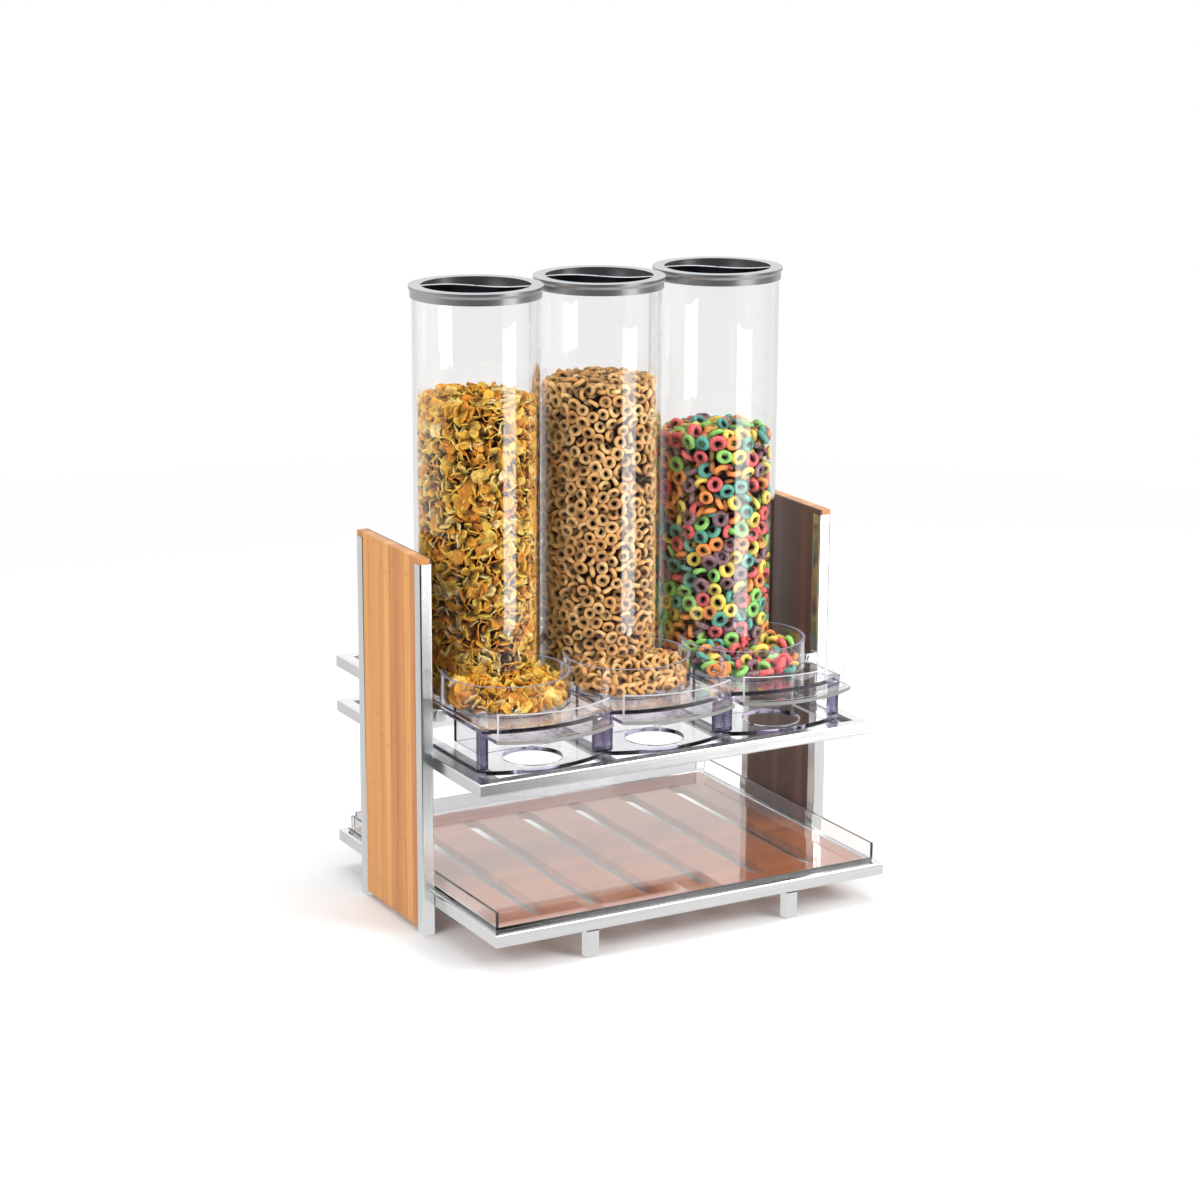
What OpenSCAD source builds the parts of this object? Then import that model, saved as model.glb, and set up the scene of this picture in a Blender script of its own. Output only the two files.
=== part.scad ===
/* [Stand] */
// Side of the square tube that the stand is made of
bar_w = 12; // [10:0.5:16]
// Wall of the square tube
bar_wall = 1.2; // [0.8:0.1:2]
// Corner radius of the square tube
bar_r = 1.5; // [0.5:0.25:2.5]
// Height of the posts
post_h = 344; // [300:1:400]
// Front face of the front posts
post_front_y = -44; // [-60:1:-30]
// Rear face of the rear posts
post_rear_y = 88; // [80:1:110]

/* [Shelves] */
// Outside width of both shelf rings
ring_w = 404; // [398:1:420]
// Rear face of both shelf rings and of the guard rail
ring_rear_y = 164; // [160:1:180]
// Front face of the upper shelf ring
upper_front_y = -136; // [-145:1:-134]
// Underside of the upper shelf ring
upper_z = 155; // [140:1:165]
// Front face of the lower shelf ring
lower_front_y = -164; // [-180:1:-160]
// Underside of the lower shelf ring
lower_z = 26; // [22:1:40]
// Underside of the guard rail
guard_z = 199; // [190:1:215]

/* [Wood] */
// Thickness of the side panels
panel_t = 11; // [9:0.5:12]
// Thickness of the panel ears that cover the post tops
ear_h = 5; // [3:0.5:8]
// Underside of the side panels
panel_z = 5; // [3:1:20]
// Thickness of the slotted board
board_t = 8; // [6:0.5:8]
// Number of slots in the board
slot_count = 6; // [2:1:6]
// Distance between neighbouring slots
slot_pitch = 57; // [45:1:58]
// Width of a slot
slot_w = 16; // [8:1:20]

/* [Tray] */
// Thickness of the tray's sheet
tray_t = 3; // [2:0.5:4]
// Height of the tray's upstands, from its underside
tray_h = 17; // [12:1:25]

/* [Dispensers] */
// Distance between neighbouring dispensers
pitch = 125; // [124:0.5:126]
// Width of the base and top plates
plate_w = 123.6; // [120:0.1:123.6]
// Thickness of the base and top plates
plate_t = 4; // [3:0.5:5]
// Height of the columns between the plates
column_h = 34; // [32:1:40]
// Side of the square columns
column_w = 8; // [6:0.5:9]
// Radius of the drop hole in the base plate
drop_r = 27; // [20:1:30]
// Outside diameter of the tubes
tube_d = 114.3; // [110:0.1:116]
// Wall of the tubes
tube_wall = 3.2; // [2.5:0.1:4]
// Height of the tubes
tube_h = 365; // [300:1:400]
// Height of the opening at the foot of a tube
cutout_h = 27; // [20:1:30]
// Outside radius of the cup in front of a tube
cup_r = 59; // [57:0.5:60]
// Wall of the cup
cup_wall_t = 3; // [2:0.5:4]
// Height of the cup wall
cup_h = 28; // [22:1:32]
// Height of the filling in each tube, from left to right
fill_h = [278, 282, 228];

/* [Drawers] */
// Thickness of the drawer plate
drawer_t = 3.5; // [3:0.25:3.5]
// Inside width of the portion pocket
pocket_w = 78; // [60:1:80]
// Inside depth of the portion pocket
pocket_d = 42; // [30:1:42]
// Wall of the pocket and of the lip
pocket_wall = 3; // [2:0.5:3]
// Height of the lip above the drawer plate
lip_h = 22.3; // [15:0.1:30]
// Outside radius of the lip
lip_r = 109; // [105:0.5:110]

/* [Lids] */
// Diameter of the lid's rim
lid_d = 120.4; // [118:0.1:123]
// Thickness of the lid's rim above the tube
lid_rim_t = 4; // [3:0.5:6]
// Depth of the lid's skirt below the rim
lid_skirt_h = 6.5; // [5:0.5:12]
// Radius of the finger recess
recess_r = 49.2; // [40:0.2:50]
// Thickness of the lid's grip fin
fin_t = 4; // [3:0.5:6]
// How far each lid is turned on its tube
lid_turn = -28; // [-90:1:90]

/* [Hidden] */
SIDES = ["left", "middle", "right"];
STAND = ["post_front_left", "post_front_right", "post_rear_left", "post_rear_right", "post_plugs",
    "panel_left", "panel_right",
    "upper_rail_front", "upper_rail_rear", "upper_rail_left", "upper_rail_right", "support_strips",
    "guard_bar_left", "guard_bar_right", "guard_bar_rear", "guard_plugs",
    "lower_rail_front", "lower_rail_rear", "lower_rail_left", "lower_rail_right",
    "front_legs", "leg_spacers", "leg_plugs", "board_ledges", "slotted_board", "tray"];
STATION = ["base_plate", "bumper_feet", "columns", "top_plate", "cup_wall", "tube", "cereal",
    "drawer_plate", "drawer_pocket", "drawer_lip", "lid"];

$fn = 96;
gap = 0.3;                                     // clearance between pieces that move or drop in
ring_x = ring_w / 2;
post_x = ring_x + bar_w / 2;                   // centre of the posts
bore_w = bar_w - 2 * bar_wall;                 // inside of the square tube
post_ys = [post_front_y + bar_w / 2, post_rear_y - bar_w / 2];
panel_top = post_h + ear_h;
plug_h = 8;
strip_t = 2.5;
foot_h = 2;
foot_r = 4.4;
strip_top = upper_z + bar_w - 4;               // the dispensers stand a little below the rail tops
base_z = strip_top + foot_h;
column_z = base_z + plate_t;
top_z = column_z + column_h;
deck_z = top_z + plate_t;                      // face that the tube and the cup stand on
tube_top = deck_z + tube_h;
tube_y = 20.5;                                 // centre of the tube
cup_y = -34;                                   // centre of the cup
tube_r = tube_d / 2;
bore_r = tube_r - tube_wall;
tube_cut_y = -9;                               // the foot of the tube is open in front of this
plate_rear_y = 84;
plate_front_y = -121;
plate_bow_r = 134;                             // radius of the bowed front edge
drop_y = -86;
column_xs = [-1, 1] * (plate_w / 2 - column_w / 2);
column_ys = [-101.5, plate_rear_y - column_w / 2];
drawer_z = top_z - gap - drawer_t;
drawer_rear_y = 38;
drawer_neck_x = plate_w / 2 - column_w - 1;
drawer_head_x = 58;
drawer_head_y = -109;                          // rear edge of the wide head, ahead of the columns
pocket_y = -38;                                // centre of the pocket at rest
leg_x = 104;
leg_y = lower_front_y + 8;
spacer_t = 1.5;
ledge_t = 2;
ledge_w = 10;
board_z = lower_z + bar_w - 0.5 - board_t;
tray_z = lower_z + bar_w + 0.05;
tray_x = ring_x - 5;
tray_ys = [lower_front_y + 10, ring_rear_y - 9];
lid_top = tube_top + lid_rim_t;

// A rounded square, exact at its corners
module rounded_square(w, d, r) {
    union() {
        square([w - 2 * r, d], center = true);
        square([w, d - 2 * r], center = true);
        for (x = [-1, 1], y = [-1, 1]) translate([x * (w / 2 - r), y * (d / 2 - r)]) circle(r, $fn = 32);
    }
}

// Square tube standing on the origin
module square_tube(length) {
    linear_extrude(length) difference() {
        rounded_square(bar_w, bar_w, bar_r);
        square(bore_w, center = true);
    }
}

// Square tube along X or Y, centred on the origin
module bar_x(length) {
    rotate([0, 90, 0]) translate([0, 0, -length / 2]) square_tube(length);
}
module bar_y(length) {
    rotate([90, 0, 0]) translate([0, 0, -length / 2]) square_tube(length);
}

// Rails of a rectangular ring with mitred corners, from y0 to y1, standing on z
module rail_front(y0, z) {
    color("gainsboro") intersection() {
        translate([0, y0 + bar_w / 2, z + bar_w / 2]) bar_x(ring_w);
        translate([0, y0, z]) linear_extrude(bar_w)
            polygon([[-ring_x, 0], [ring_x, 0], [ring_x - bar_w, bar_w], [bar_w - ring_x, bar_w]]);
    }
}
module rail_rear(y1, z) {
    mirror([0, 1, 0]) rail_front(-y1, z);
}
module rail_right(y0, y1, z) {
    color("gainsboro") intersection() {
        translate([ring_x - bar_w / 2, (y0 + y1) / 2, z + bar_w / 2]) bar_y(y1 - y0);
        translate([ring_x, 0, z]) linear_extrude(bar_w)
            polygon([[0, y0], [0, y1], [-bar_w, y1 - bar_w], [-bar_w, y0 + bar_w]]);
    }
}
module rail_left(y0, y1, z) {
    mirror([1, 0, 0]) rail_right(y0, y1, z);
}

// Stand
module post(x, y) {
    color("gainsboro") translate([x, y, 0]) square_tube(post_h);
}
module plug(depth) {
    linear_extrude(depth) square(bore_w, center = true);
}
module post_plugs() {
    color("dimgray") for (x = [-1, 1], y = post_ys) translate([x * post_x, y, 0]) plug(plug_h);
}
module panel() {
    color("sandybrown") {
        translate([post_x - panel_t / 2, post_front_y + bar_w + gap, panel_z])
            cube([panel_t, post_rear_y - post_front_y - 2 * bar_w - 2 * gap, panel_top - panel_z]);
        translate([post_x - panel_t / 2, post_front_y, post_h])
            cube([panel_t, post_rear_y - post_front_y, ear_h]);
    }
}
module support_strips() {
    strip_xs = [-ring_x + bar_w + 9, -pitch / 2, pitch / 2, ring_x - bar_w - 9];
    color("silver") for (x = strip_xs)
        translate([x - 8, upper_front_y + bar_w, strip_top - strip_t])
            cube([16, ring_rear_y - upper_front_y - 2 * bar_w, strip_t]);
}
module guard_bar_right() {
    y0 = post_front_y + 2;
    color("gainsboro") intersection() {
        translate([ring_x - bar_w / 2, (y0 + ring_rear_y) / 2, guard_z + bar_w / 2])
            bar_y(ring_rear_y - y0);
        translate([ring_x, 0, guard_z]) linear_extrude(bar_w)
            polygon([[0, y0], [0, ring_rear_y], [-bar_w, ring_rear_y - bar_w], [-bar_w, y0]]);
    }
}
module guard_bar_left() {
    mirror([1, 0, 0]) guard_bar_right();
}
module guard_plugs() {
    y0 = post_front_y + 2;
    color("lightgray") for (x = [-1, 1])
        translate([x * (ring_x - bar_w / 2), y0, guard_z + bar_w / 2]) rotate([90, 0, 0]) {
            translate([0, 0, -plug_h]) plug(plug_h);
            linear_extrude(2.5) rounded_square(bar_w, bar_w, 3);
            translate([0, 0, 2.5]) linear_extrude(1.5) rounded_square(bar_w - 3, bar_w - 3, 3);
        }
}
module front_legs() {
    color("gainsboro") for (x = [-1, 1]) translate([x * leg_x, leg_y, 0]) square_tube(lower_z - spacer_t);
}
module leg_spacers() {
    color("black") for (x = [-1, 1]) translate([x * leg_x, leg_y, lower_z - spacer_t])
        linear_extrude(spacer_t) difference() {
            square(bar_w - 1, center = true);
            circle(d = 5);
        }
}
module leg_plugs() {
    color("dimgray") for (x = [-1, 1]) translate([x * leg_x, leg_y, 0]) plug(plug_h);
}
module board_ledges() {
    y0 = lower_front_y + bar_w;
    y1 = ring_rear_y - bar_w - ledge_w;
    color("silver") for (y = [y0, y1])
        translate([bar_w - ring_x, y, board_z - ledge_t]) cube([ring_w - 2 * bar_w, ledge_w, ledge_t]);
}

// Slotted board: the slots run from front to back and end in half circles
module slotted_board() {
    x1 = ring_x - bar_w - gap;
    y0 = lower_front_y + bar_w + gap;
    y1 = ring_rear_y - bar_w - gap;
    slot_y0 = y0 + 15 + slot_w / 2;
    slot_y1 = y1 - 30 - slot_w / 2;
    color("peru") translate([0, 0, board_z]) linear_extrude(board_t) difference() {
        translate([-x1, y0]) square([2 * x1, y1 - y0]);
        for (k = [0:slot_count - 1]) translate([(k - (slot_count - 1) / 2) * slot_pitch, 0]) {
            translate([-slot_w / 2, slot_y0]) square([slot_w, slot_y1 - slot_y0]);
            for (y = [slot_y0, slot_y1]) translate([0, y]) circle(d = slot_w);
        }
    }
}

// Tray: one bent sheet with upstands on three sides and open rear corners
module tray() {
    rear_notch = 8;
    depth = tray_ys[1] - tray_ys[0];
    color("aliceblue", 0.4) {
        translate([-tray_x, tray_ys[0], tray_z]) cube([2 * tray_x, depth, tray_t]);
        for (x = [-tray_x, tray_x - tray_t]) translate([x, tray_ys[0], tray_z])
            cube([tray_t, depth - rear_notch, tray_h]);
        translate([rear_notch - tray_x, tray_ys[1] - tray_t, tray_z])
            cube([2 * (tray_x - rear_notch), tray_t, tray_h]);
    }
}

// Dispenser: outline shared by the base plate and the top plate
module plate_outline() {
    intersection() {
        translate([0, plate_front_y + plate_bow_r]) circle(plate_bow_r, $fn = 240);
        translate([-plate_w / 2, plate_front_y - 5]) square([plate_w, plate_rear_y - plate_front_y + 5]);
    }
}
module base_plate() {
    color("lavender", 0.5) translate([0, 0, base_z]) linear_extrude(plate_t) difference() {
        plate_outline();
        translate([0, drop_y]) circle(drop_r);
    }
}
module bumper_feet() {
    color("white", 0.6) for (x = column_xs, y = column_ys)
        translate([x, y, strip_top]) cylinder(h = foot_h, r1 = foot_r - 1, r2 = foot_r - 0.4, $fn = 48);
}
module columns() {
    color("thistle", 0.6) for (x = column_xs, y = column_ys)
        translate([x, y, column_z]) linear_extrude(column_h) square(column_w, center = true);
}
module top_plate() {
    opening = [pocket_w + 2, pocket_d + 2];
    color("lavender", 0.5) translate([0, 0, top_z]) linear_extrude(plate_t) difference() {
        plate_outline();
        translate([0, pocket_y]) square(opening, center = true);
    }
}
module cup_wall() {
    color("aliceblue", 0.4) translate([0, 0, deck_z]) linear_extrude(cup_h) difference() {
        translate([0, cup_y]) circle(cup_r, $fn = 160);
        translate([0, cup_y]) circle(cup_r - cup_wall_t, $fn = 160);
        translate([0, tube_y]) circle(tube_r, $fn = 160);
    }
}
module tube() {
    color("aliceblue", 0.3) difference() {
        translate([0, tube_y, deck_z]) difference() {
            cylinder(h = tube_h, r = tube_r, $fn = 160);
            translate([0, 0, -1]) cylinder(h = tube_h + 2, r = bore_r, $fn = 160);
        }
        translate([-tube_r - 1, tube_cut_y - 60, deck_z - 1]) cube([tube_d + 2, 60, cutout_h + 1]);
    }
}

// Filling: a column in the tube and a heap that slopes down into the cup
module cereal(height) {
    heap_y = tube_y - tube_r;
    color("goldenrod") {
        translate([0, tube_y, deck_z + gap]) cylinder(h = height, r = bore_r - gap);
        difference() {
            translate([0, cup_y, deck_z + gap]) cylinder(h = cutout_h - 1, r = cup_r - cup_wall_t - gap);
            translate([-cup_r, tube_cut_y - gap, deck_z]) cube([2 * cup_r, 2 * cup_r, cup_h]);
            translate([-cup_r, heap_y, deck_z + cutout_h - 2]) rotate([18, 0, 0])
                translate([0, -3 * cup_r, 0]) cube([2 * cup_r, 3 * cup_r, cup_h]);
        }
    }
}

// Drawer: a plate with an arched front, an open pocket under it and a lip on its front edge
module drawer_plate() {
    color("lavender", 0.6) translate([0, 0, drawer_z]) linear_extrude(drawer_t) difference() {
        union() {
            translate([-drawer_neck_x, drawer_head_y - 1])
                square([2 * drawer_neck_x, drawer_rear_y - drawer_head_y + 1]);
            intersection() {
                translate([0, cup_y]) circle(lip_r + 3.5, $fn = 240);
                translate([-drawer_head_x, drawer_head_y - 60]) square([2 * drawer_head_x, 60]);
            }
        }
        translate([0, pocket_y]) square([pocket_w, pocket_d], center = true);
    }
}
module drawer_pocket() {
    z0 = column_z + gap;
    outer = [pocket_w + 2 * pocket_wall, pocket_d + 2 * pocket_wall];
    color("thistle", 0.5) translate([0, pocket_y, z0]) linear_extrude(drawer_z - z0) difference() {
        square(outer, center = true);
        square([pocket_w, pocket_d], center = true);
    }
}
module drawer_lip() {
    half_w = drawer_head_x - 3;
    color("aliceblue", 0.5) translate([0, 0, drawer_z + drawer_t]) linear_extrude(lip_h) intersection() {
        translate([0, cup_y]) difference() {
            circle(lip_r, $fn = 240);
            circle(lip_r - pocket_wall, $fn = 240);
        }
        translate([-half_w, cup_y - lip_r - 1]) square([2 * half_w, 40]);
    }
}

// Lid: rim and skirt over the tube, plug inside it, and an S-curved grip fin across the recess
module lid_body() {
    rim_r = lid_d / 2;
    skirt_r = tube_r + 0.25;
    low = tube_top - lid_skirt_h;
    floor_t = 2;
    rotate_extrude($fn = 160) polygon([
        [0, low], [bore_r - gap, low], [bore_r - gap, tube_top], [skirt_r, tube_top], [skirt_r, low],
        [skirt_r + 1.4, low], [skirt_r + 1.4, tube_top - 1], [rim_r - 0.6, tube_top + 1],
        [rim_r, tube_top + 2], [rim_r, lid_top - 0.8], [rim_r - 0.8, lid_top],
        [recess_r + 0.6, lid_top], [recess_r, lid_top - 0.6], [recess_r, low + floor_t],
        [0, low + floor_t]]);
}
module grip_fin() {
    sag = 8;
    half = recess_r / 2;
    arc_r = (half * half + sag * sag) / (2 * sag);
    for (turn = [0, 180]) rotate(turn) intersection() {
        translate([-half, sag - arc_r]) difference() {
            circle(arc_r + fin_t / 2);
            circle(arc_r - fin_t / 2);
        }
        translate([-recess_r - 0.3, -fin_t]) square([recess_r + 0.3, sag + 2 * fin_t]);
    }
}
module lid() {
    low = tube_top - lid_skirt_h;
    color("darkgray") translate([0, tube_y, 0]) {
        lid_body();
        translate([0, 0, low + 1]) linear_extrude(lid_top - 0.6 - low - 1) rotate(lid_turn) grip_fin();
    }
}

post(-post_x, post_ys[0]);  // post_front_left
post(post_x, post_ys[0]);  // post_front_right
post(-post_x, post_ys[1]);  // post_rear_left
post(post_x, post_ys[1]);  // post_rear_right
post_plugs();
mirror([1, 0, 0]) panel();  // panel_left
panel();  // panel_right
rail_front(upper_front_y, upper_z);  // upper_rail_front
rail_rear(ring_rear_y, upper_z);  // upper_rail_rear
rail_left(upper_front_y, ring_rear_y, upper_z);  // upper_rail_left
rail_right(upper_front_y, ring_rear_y, upper_z);  // upper_rail_right
support_strips();
guard_bar_left();
guard_bar_right();
rail_rear(ring_rear_y, guard_z);  // guard_bar_rear
guard_plugs();
rail_front(lower_front_y, lower_z);  // lower_rail_front
rail_rear(ring_rear_y, lower_z);  // lower_rail_rear
rail_left(lower_front_y, ring_rear_y, lower_z);  // lower_rail_left
rail_right(lower_front_y, ring_rear_y, lower_z);  // lower_rail_right
front_legs();
leg_spacers();
leg_plugs();
board_ledges();
slotted_board();
tray();

for (k = [0:2]) translate([(k - 1) * pitch, 0, 0]) {
    base_plate();
    bumper_feet();
    columns();
    top_plate();
    cup_wall();
    tube();
    cereal(fill_h[k]);
    drawer_plate();
    drawer_pocket();
    drawer_lip();
    lid();
}
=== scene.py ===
import math

import bpy
import numpy as np
from mathutils import Matrix, Vector


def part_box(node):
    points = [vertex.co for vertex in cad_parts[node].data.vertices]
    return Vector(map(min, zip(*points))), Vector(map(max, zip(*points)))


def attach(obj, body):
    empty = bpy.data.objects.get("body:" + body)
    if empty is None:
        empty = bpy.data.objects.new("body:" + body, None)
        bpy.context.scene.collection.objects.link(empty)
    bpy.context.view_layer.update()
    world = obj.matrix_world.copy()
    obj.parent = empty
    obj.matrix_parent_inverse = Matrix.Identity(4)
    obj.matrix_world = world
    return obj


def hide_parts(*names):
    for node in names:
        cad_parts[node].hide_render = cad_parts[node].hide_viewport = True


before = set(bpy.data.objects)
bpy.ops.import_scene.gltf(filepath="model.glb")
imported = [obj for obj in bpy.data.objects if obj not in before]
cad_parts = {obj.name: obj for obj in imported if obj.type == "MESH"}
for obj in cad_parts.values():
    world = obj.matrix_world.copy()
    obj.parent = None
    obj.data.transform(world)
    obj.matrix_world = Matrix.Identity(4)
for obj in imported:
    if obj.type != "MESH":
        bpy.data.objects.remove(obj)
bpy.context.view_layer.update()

SIDES = ("left", "middle", "right")
MM = 0.001
SHEET = 3 * MM
TUBE_WALL = 3.2 * MM
FOOT_OPENING_BACK = -9 * MM
LID_TURN = math.radians(-28)
HEAP_BACK, HEAP_FRONT = 25 * MM, 8 * MM
FRONT_LEFT = (-0.487, -0.873)
BLACK, WHITE = (0.0, 0.0, 0.0), (1.0, 1.0, 1.0)


# ---------------------------------------------------------------- shader building blocks

class NodeSheet:
    """A node tree and short ways to add nodes to it."""

    def __init__(self, tree):
        self.tree = tree

    def add(self, kind, **settings):
        node = self.tree.nodes.new("ShaderNode" + kind)
        for key, value in settings.items():
            setattr(node, key, value)
        return node

    def feed(self, socket, value):
        """Links a socket, or sets its number, vector or colour."""
        if isinstance(value, bpy.types.NodeSocket):
            self.tree.links.new(value, socket)
        elif isinstance(value, tuple) and socket.type == "RGBA":
            socket.default_value = (*value[:3], 1)
        else:
            socket.default_value = value

    def scaled(self, vector, scale):
        node = self.add("VectorMath", operation="MULTIPLY")
        self.feed(node.inputs[0], vector)
        self.feed(node.inputs[1], scale)
        return node.outputs["Vector"]

    def noise(self, where, scale, detail=4.0, roughness=0.5):
        node = self.add("TexNoise")
        self.feed(node.inputs["Vector"], where)
        self.feed(node.inputs["Scale"], scale)
        self.feed(node.inputs["Detail"], detail)
        self.feed(node.inputs["Roughness"], roughness)
        return node.outputs["Fac"]

    def ramp(self, source, stops, constant=False):
        node = self.add("ValToRGB")
        self.feed(node.inputs[0], source)
        elements = node.color_ramp.elements
        if constant:
            node.color_ramp.interpolation = "CONSTANT"
        while len(elements) < len(stops):
            elements.new(0.5)
        for element, (place, colour) in zip(elements, stops):
            colour = colour if isinstance(colour, tuple) else (colour,) * 3
            element.position, element.color = place, (*colour, 1)
        return node.outputs["Color"]

    def math(self, operation, *values):
        node = self.add("Math", operation=operation)
        for socket, value in zip(node.inputs, values):
            self.feed(socket, value)
        return node.outputs[0]

    def total(self, a, share_a, b, share_b):
        """The sum of two values, each times its share."""
        return self.math("ADD", self.math("MULTIPLY", a, share_a), self.math("MULTIPLY", b, share_b))

    def fit(self, source, low, high, start=0.0, end=1.0):
        """Carries a value from the range start to end over to the range low to high."""
        node = self.add("MapRange")
        self.feed(node.inputs["Value"], source)
        for name, value in (("From Min", start), ("From Max", end), ("To Min", low), ("To Max", high)):
            self.feed(node.inputs[name], value)
        return node.outputs["Result"]

    def mix(self, factor, a, b, blend="MIX"):
        node = self.add("Mix", data_type="RGBA", blend_type=blend)
        for name, value in (("Factor", factor), ("A", a), ("B", b)):
            self.feed([s for s in node.inputs if s.name == name and s.enabled][0], value)
        return [s for s in node.outputs if s.enabled][0]

    def split(self, vector):
        node = self.add("SeparateXYZ")
        self.feed(node.inputs[0], vector)
        return node.outputs

    def layer(self, factor, under, over):
        """Mixes two shaders."""
        node = self.add("MixShader")
        for socket, value in zip(node.inputs, (factor, under, over)):
            self.feed(socket, value)
        return node.outputs[0]


class Effect(NodeSheet):
    """A finish that several materials share, as a node group with named inputs and outputs."""

    def __init__(self, name, inputs, outputs):
        super().__init__(bpy.data.node_groups.new(name, "ShaderNodeTree"))
        for way, sockets in (("INPUT", inputs), ("OUTPUT", outputs)):
            for label, kind in sockets.items():
                self.tree.interface.new_socket(name=label, in_out=way, socket_type="NodeSocket" + kind)
        self.given = self.tree.nodes.new("NodeGroupInput").outputs
        self.result = self.tree.nodes.new("NodeGroupOutput").inputs

    def give(self, **results):
        for label, value in results.items():
            self.feed(self.result[label], value)


class Shader(NodeSheet):
    """A material with a Principled BSDF."""

    def __init__(self, name):
        self.material = bpy.data.materials.new(name)
        self.material.use_nodes = True
        super().__init__(self.material.node_tree)
        self.surface = self.tree.nodes["Principled BSDF"]

    def put(self, **values):
        """Sets the surface's own sockets, or links changing ones."""
        for key, value in values.items():
            self.feed(self.surface.inputs[key.replace("_", " ")], value)

    def place(self):
        """Coordinates of the piece itself, in metres."""
        return self.add("TexCoord").outputs["Object"]

    def attribute(self, name):
        return self.add("Attribute", attribute_name=name).outputs["Fac"]

    def effect(self, effect, **values):
        """Places a shared finish in this material with its own values."""
        node = self.add("Group", node_tree=effect.tree)
        for key, value in values.items():
            self.feed(node.inputs[key], value)
        return node.outputs

    def bump(self, height, distance, strength=1.0):
        node = self.add("Bump")
        self.feed(node.inputs["Height"], height)
        self.feed(node.inputs["Distance"], distance)
        self.feed(node.inputs["Strength"], strength)
        self.feed(self.surface.inputs["Normal"], node.outputs["Normal"])

    def show(self, surface):
        """Makes a shader the material's surface."""
        self.feed(self.tree.nodes["Material Output"].inputs["Surface"], surface)


# ---------------------------------------------------------------- finishes that materials share

def make_lengthwise_grain():
    """Fine grain drawn out along one direction, under handling smudges."""
    sheet = Effect("lengthwise_grain",
                   {"Place": "Vector", "Stretch": "Vector", "Bright": "Color", "Dull": "Color"},
                   {"Color": "Color", "Wear": "Float", "Height": "Float"})
    given = sheet.given
    grain = sheet.noise(sheet.scaled(given["Place"], given["Stretch"]), 1.0, 3.0, 0.6)
    smudge = sheet.noise(given["Place"], 14.0, 3.0, 0.55)
    drawn = sheet.mix(sheet.fit(grain, 0.0, 1.0, 0.3, 0.7), given["Dull"], given["Bright"])
    touched = sheet.mix(sheet.fit(smudge, 0.0, 1.0, 0.35, 0.65), given["Dull"], given["Bright"])
    sheet.give(Color=sheet.mix(0.25, drawn, touched), Wear=sheet.total(grain, 0.6, smudge, 0.4),
               Height=grain)
    return sheet


def make_bamboo_strips():
    """Glued bamboo strips: a tone for each strip, long fibres, knuckle marks and glue lines.
    Strips lie side by side along X of the given place and run along Z."""
    sheet = Effect("bamboo_strips",
                   {"Place": "Vector", "Strip": "Float", "Contrast": "Float", "Knuckle": "Float",
                    "Light": "Color", "Middle": "Color", "Dark": "Color"},
                   {"Color": "Color", "Look": "Float", "Fibre": "Float", "Height": "Float"})
    given = sheet.given
    axes = sheet.split(given["Place"])
    across = sheet.math("DIVIDE", axes[0], given["Strip"])
    pick = sheet.add("TexWhiteNoise", noise_dimensions="1D")
    sheet.feed(pick.inputs["W"], sheet.math("ADD", sheet.math("FLOOR", across), 7.31))
    tone = pick.outputs["Value"]
    fibre = sheet.noise(sheet.scaled(given["Place"], (900.0, 900.0, 9.0)), 1.0, 5.0, 0.65)
    band = sheet.noise(sheet.scaled(given["Place"], (150.0, 150.0, 3.0)), 1.0, 3.0, 0.5)
    grown = sheet.total(fibre, 0.46, band, 0.26)
    own = sheet.math("MULTIPLY", sheet.math("SUBTRACT", tone, 0.5), given["Contrast"])
    look = sheet.math("ADD", grown, sheet.math("ADD", own, 0.17))
    pale = sheet.mix(sheet.fit(look, 0.0, 1.0, 0.52, 0.70), given["Middle"], given["Light"])
    wood = sheet.mix(sheet.fit(look, 1.0, 0.0, 0.34, 0.52), pale, given["Dark"])
    along = sheet.total(axes[2], 6.2, tone, 5.0)
    phase = sheet.math("ABSOLUTE", sheet.math("SUBTRACT", sheet.math("FRACT", along), 0.5))
    knuckle = sheet.math("MULTIPLY", sheet.fit(phase, 1.0, 0.0, 0.004, 0.024), given["Knuckle"])
    wood = sheet.mix(knuckle, wood, sheet.mix(0.38, given["Dark"], BLACK))
    edge = sheet.math("ABSOLUTE", sheet.math("SUBTRACT", sheet.math("FRACT", across), 0.5))
    glue = sheet.fit(edge, 0.0, 1.0, 0.470, 0.495)
    wood = sheet.mix(sheet.math("MULTIPLY", glue, 0.38), wood, sheet.mix(0.3, given["Dark"], BLACK))
    height = sheet.math("SUBTRACT", fibre, sheet.math("MULTIPLY", glue, 0.8))
    sheet.give(Color=wood, Look=look, Fibre=fibre, Height=height)
    return sheet


def make_fleck():
    """A fine cloud between two colours: the haze of clear plastic, or the speckle of a moulding."""
    sheet = Effect("fleck", {"Place": "Vector", "Scale": "Float", "Low": "Color", "High": "Color"},
                   {"Color": "Color", "Mask": "Float"})
    given = sheet.given
    cloud = sheet.noise(given["Place"], given["Scale"], 3.0)
    mask = sheet.fit(cloud, 0.0, 1.0, 0.35, 0.65)
    sheet.give(Color=sheet.mix(mask, given["Low"], given["High"]), Mask=cloud)
    return sheet


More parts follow.
